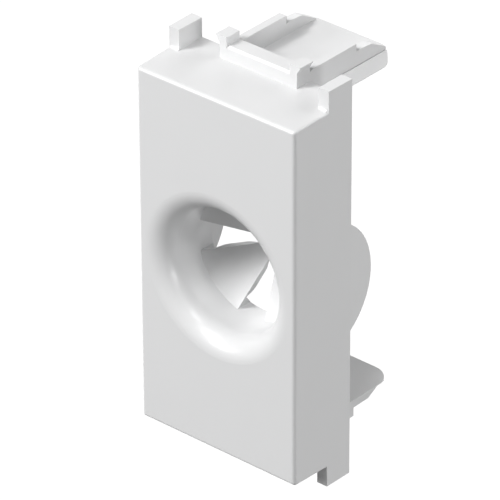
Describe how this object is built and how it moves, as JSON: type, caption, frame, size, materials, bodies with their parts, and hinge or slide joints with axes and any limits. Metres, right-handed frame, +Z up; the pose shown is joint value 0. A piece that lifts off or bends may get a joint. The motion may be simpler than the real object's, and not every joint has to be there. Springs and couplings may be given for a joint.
{
  "type": "cable outlet module",
  "caption": "Snap-in module with a round-lipped cable bore, a cone of flexible grip petals, corner tabs that seat in a mounting frame, and latches with ribbed release tongues.",
  "frame": {"origin": "on the axis of the cable bore, in the plane of the corner tabs' front faces", "axes": "+X is the width seen from the front, +Y runs from the front face into the wall, +Z is up along the long side"},
  "size_m": [0.0228, 0.0225, 0.051],
  "materials": {
    "white_plastic": "satin"
  },
  "bodies": {
    "root": {"outlet_body": "white_plastic"}
  },
  "joints": []
}
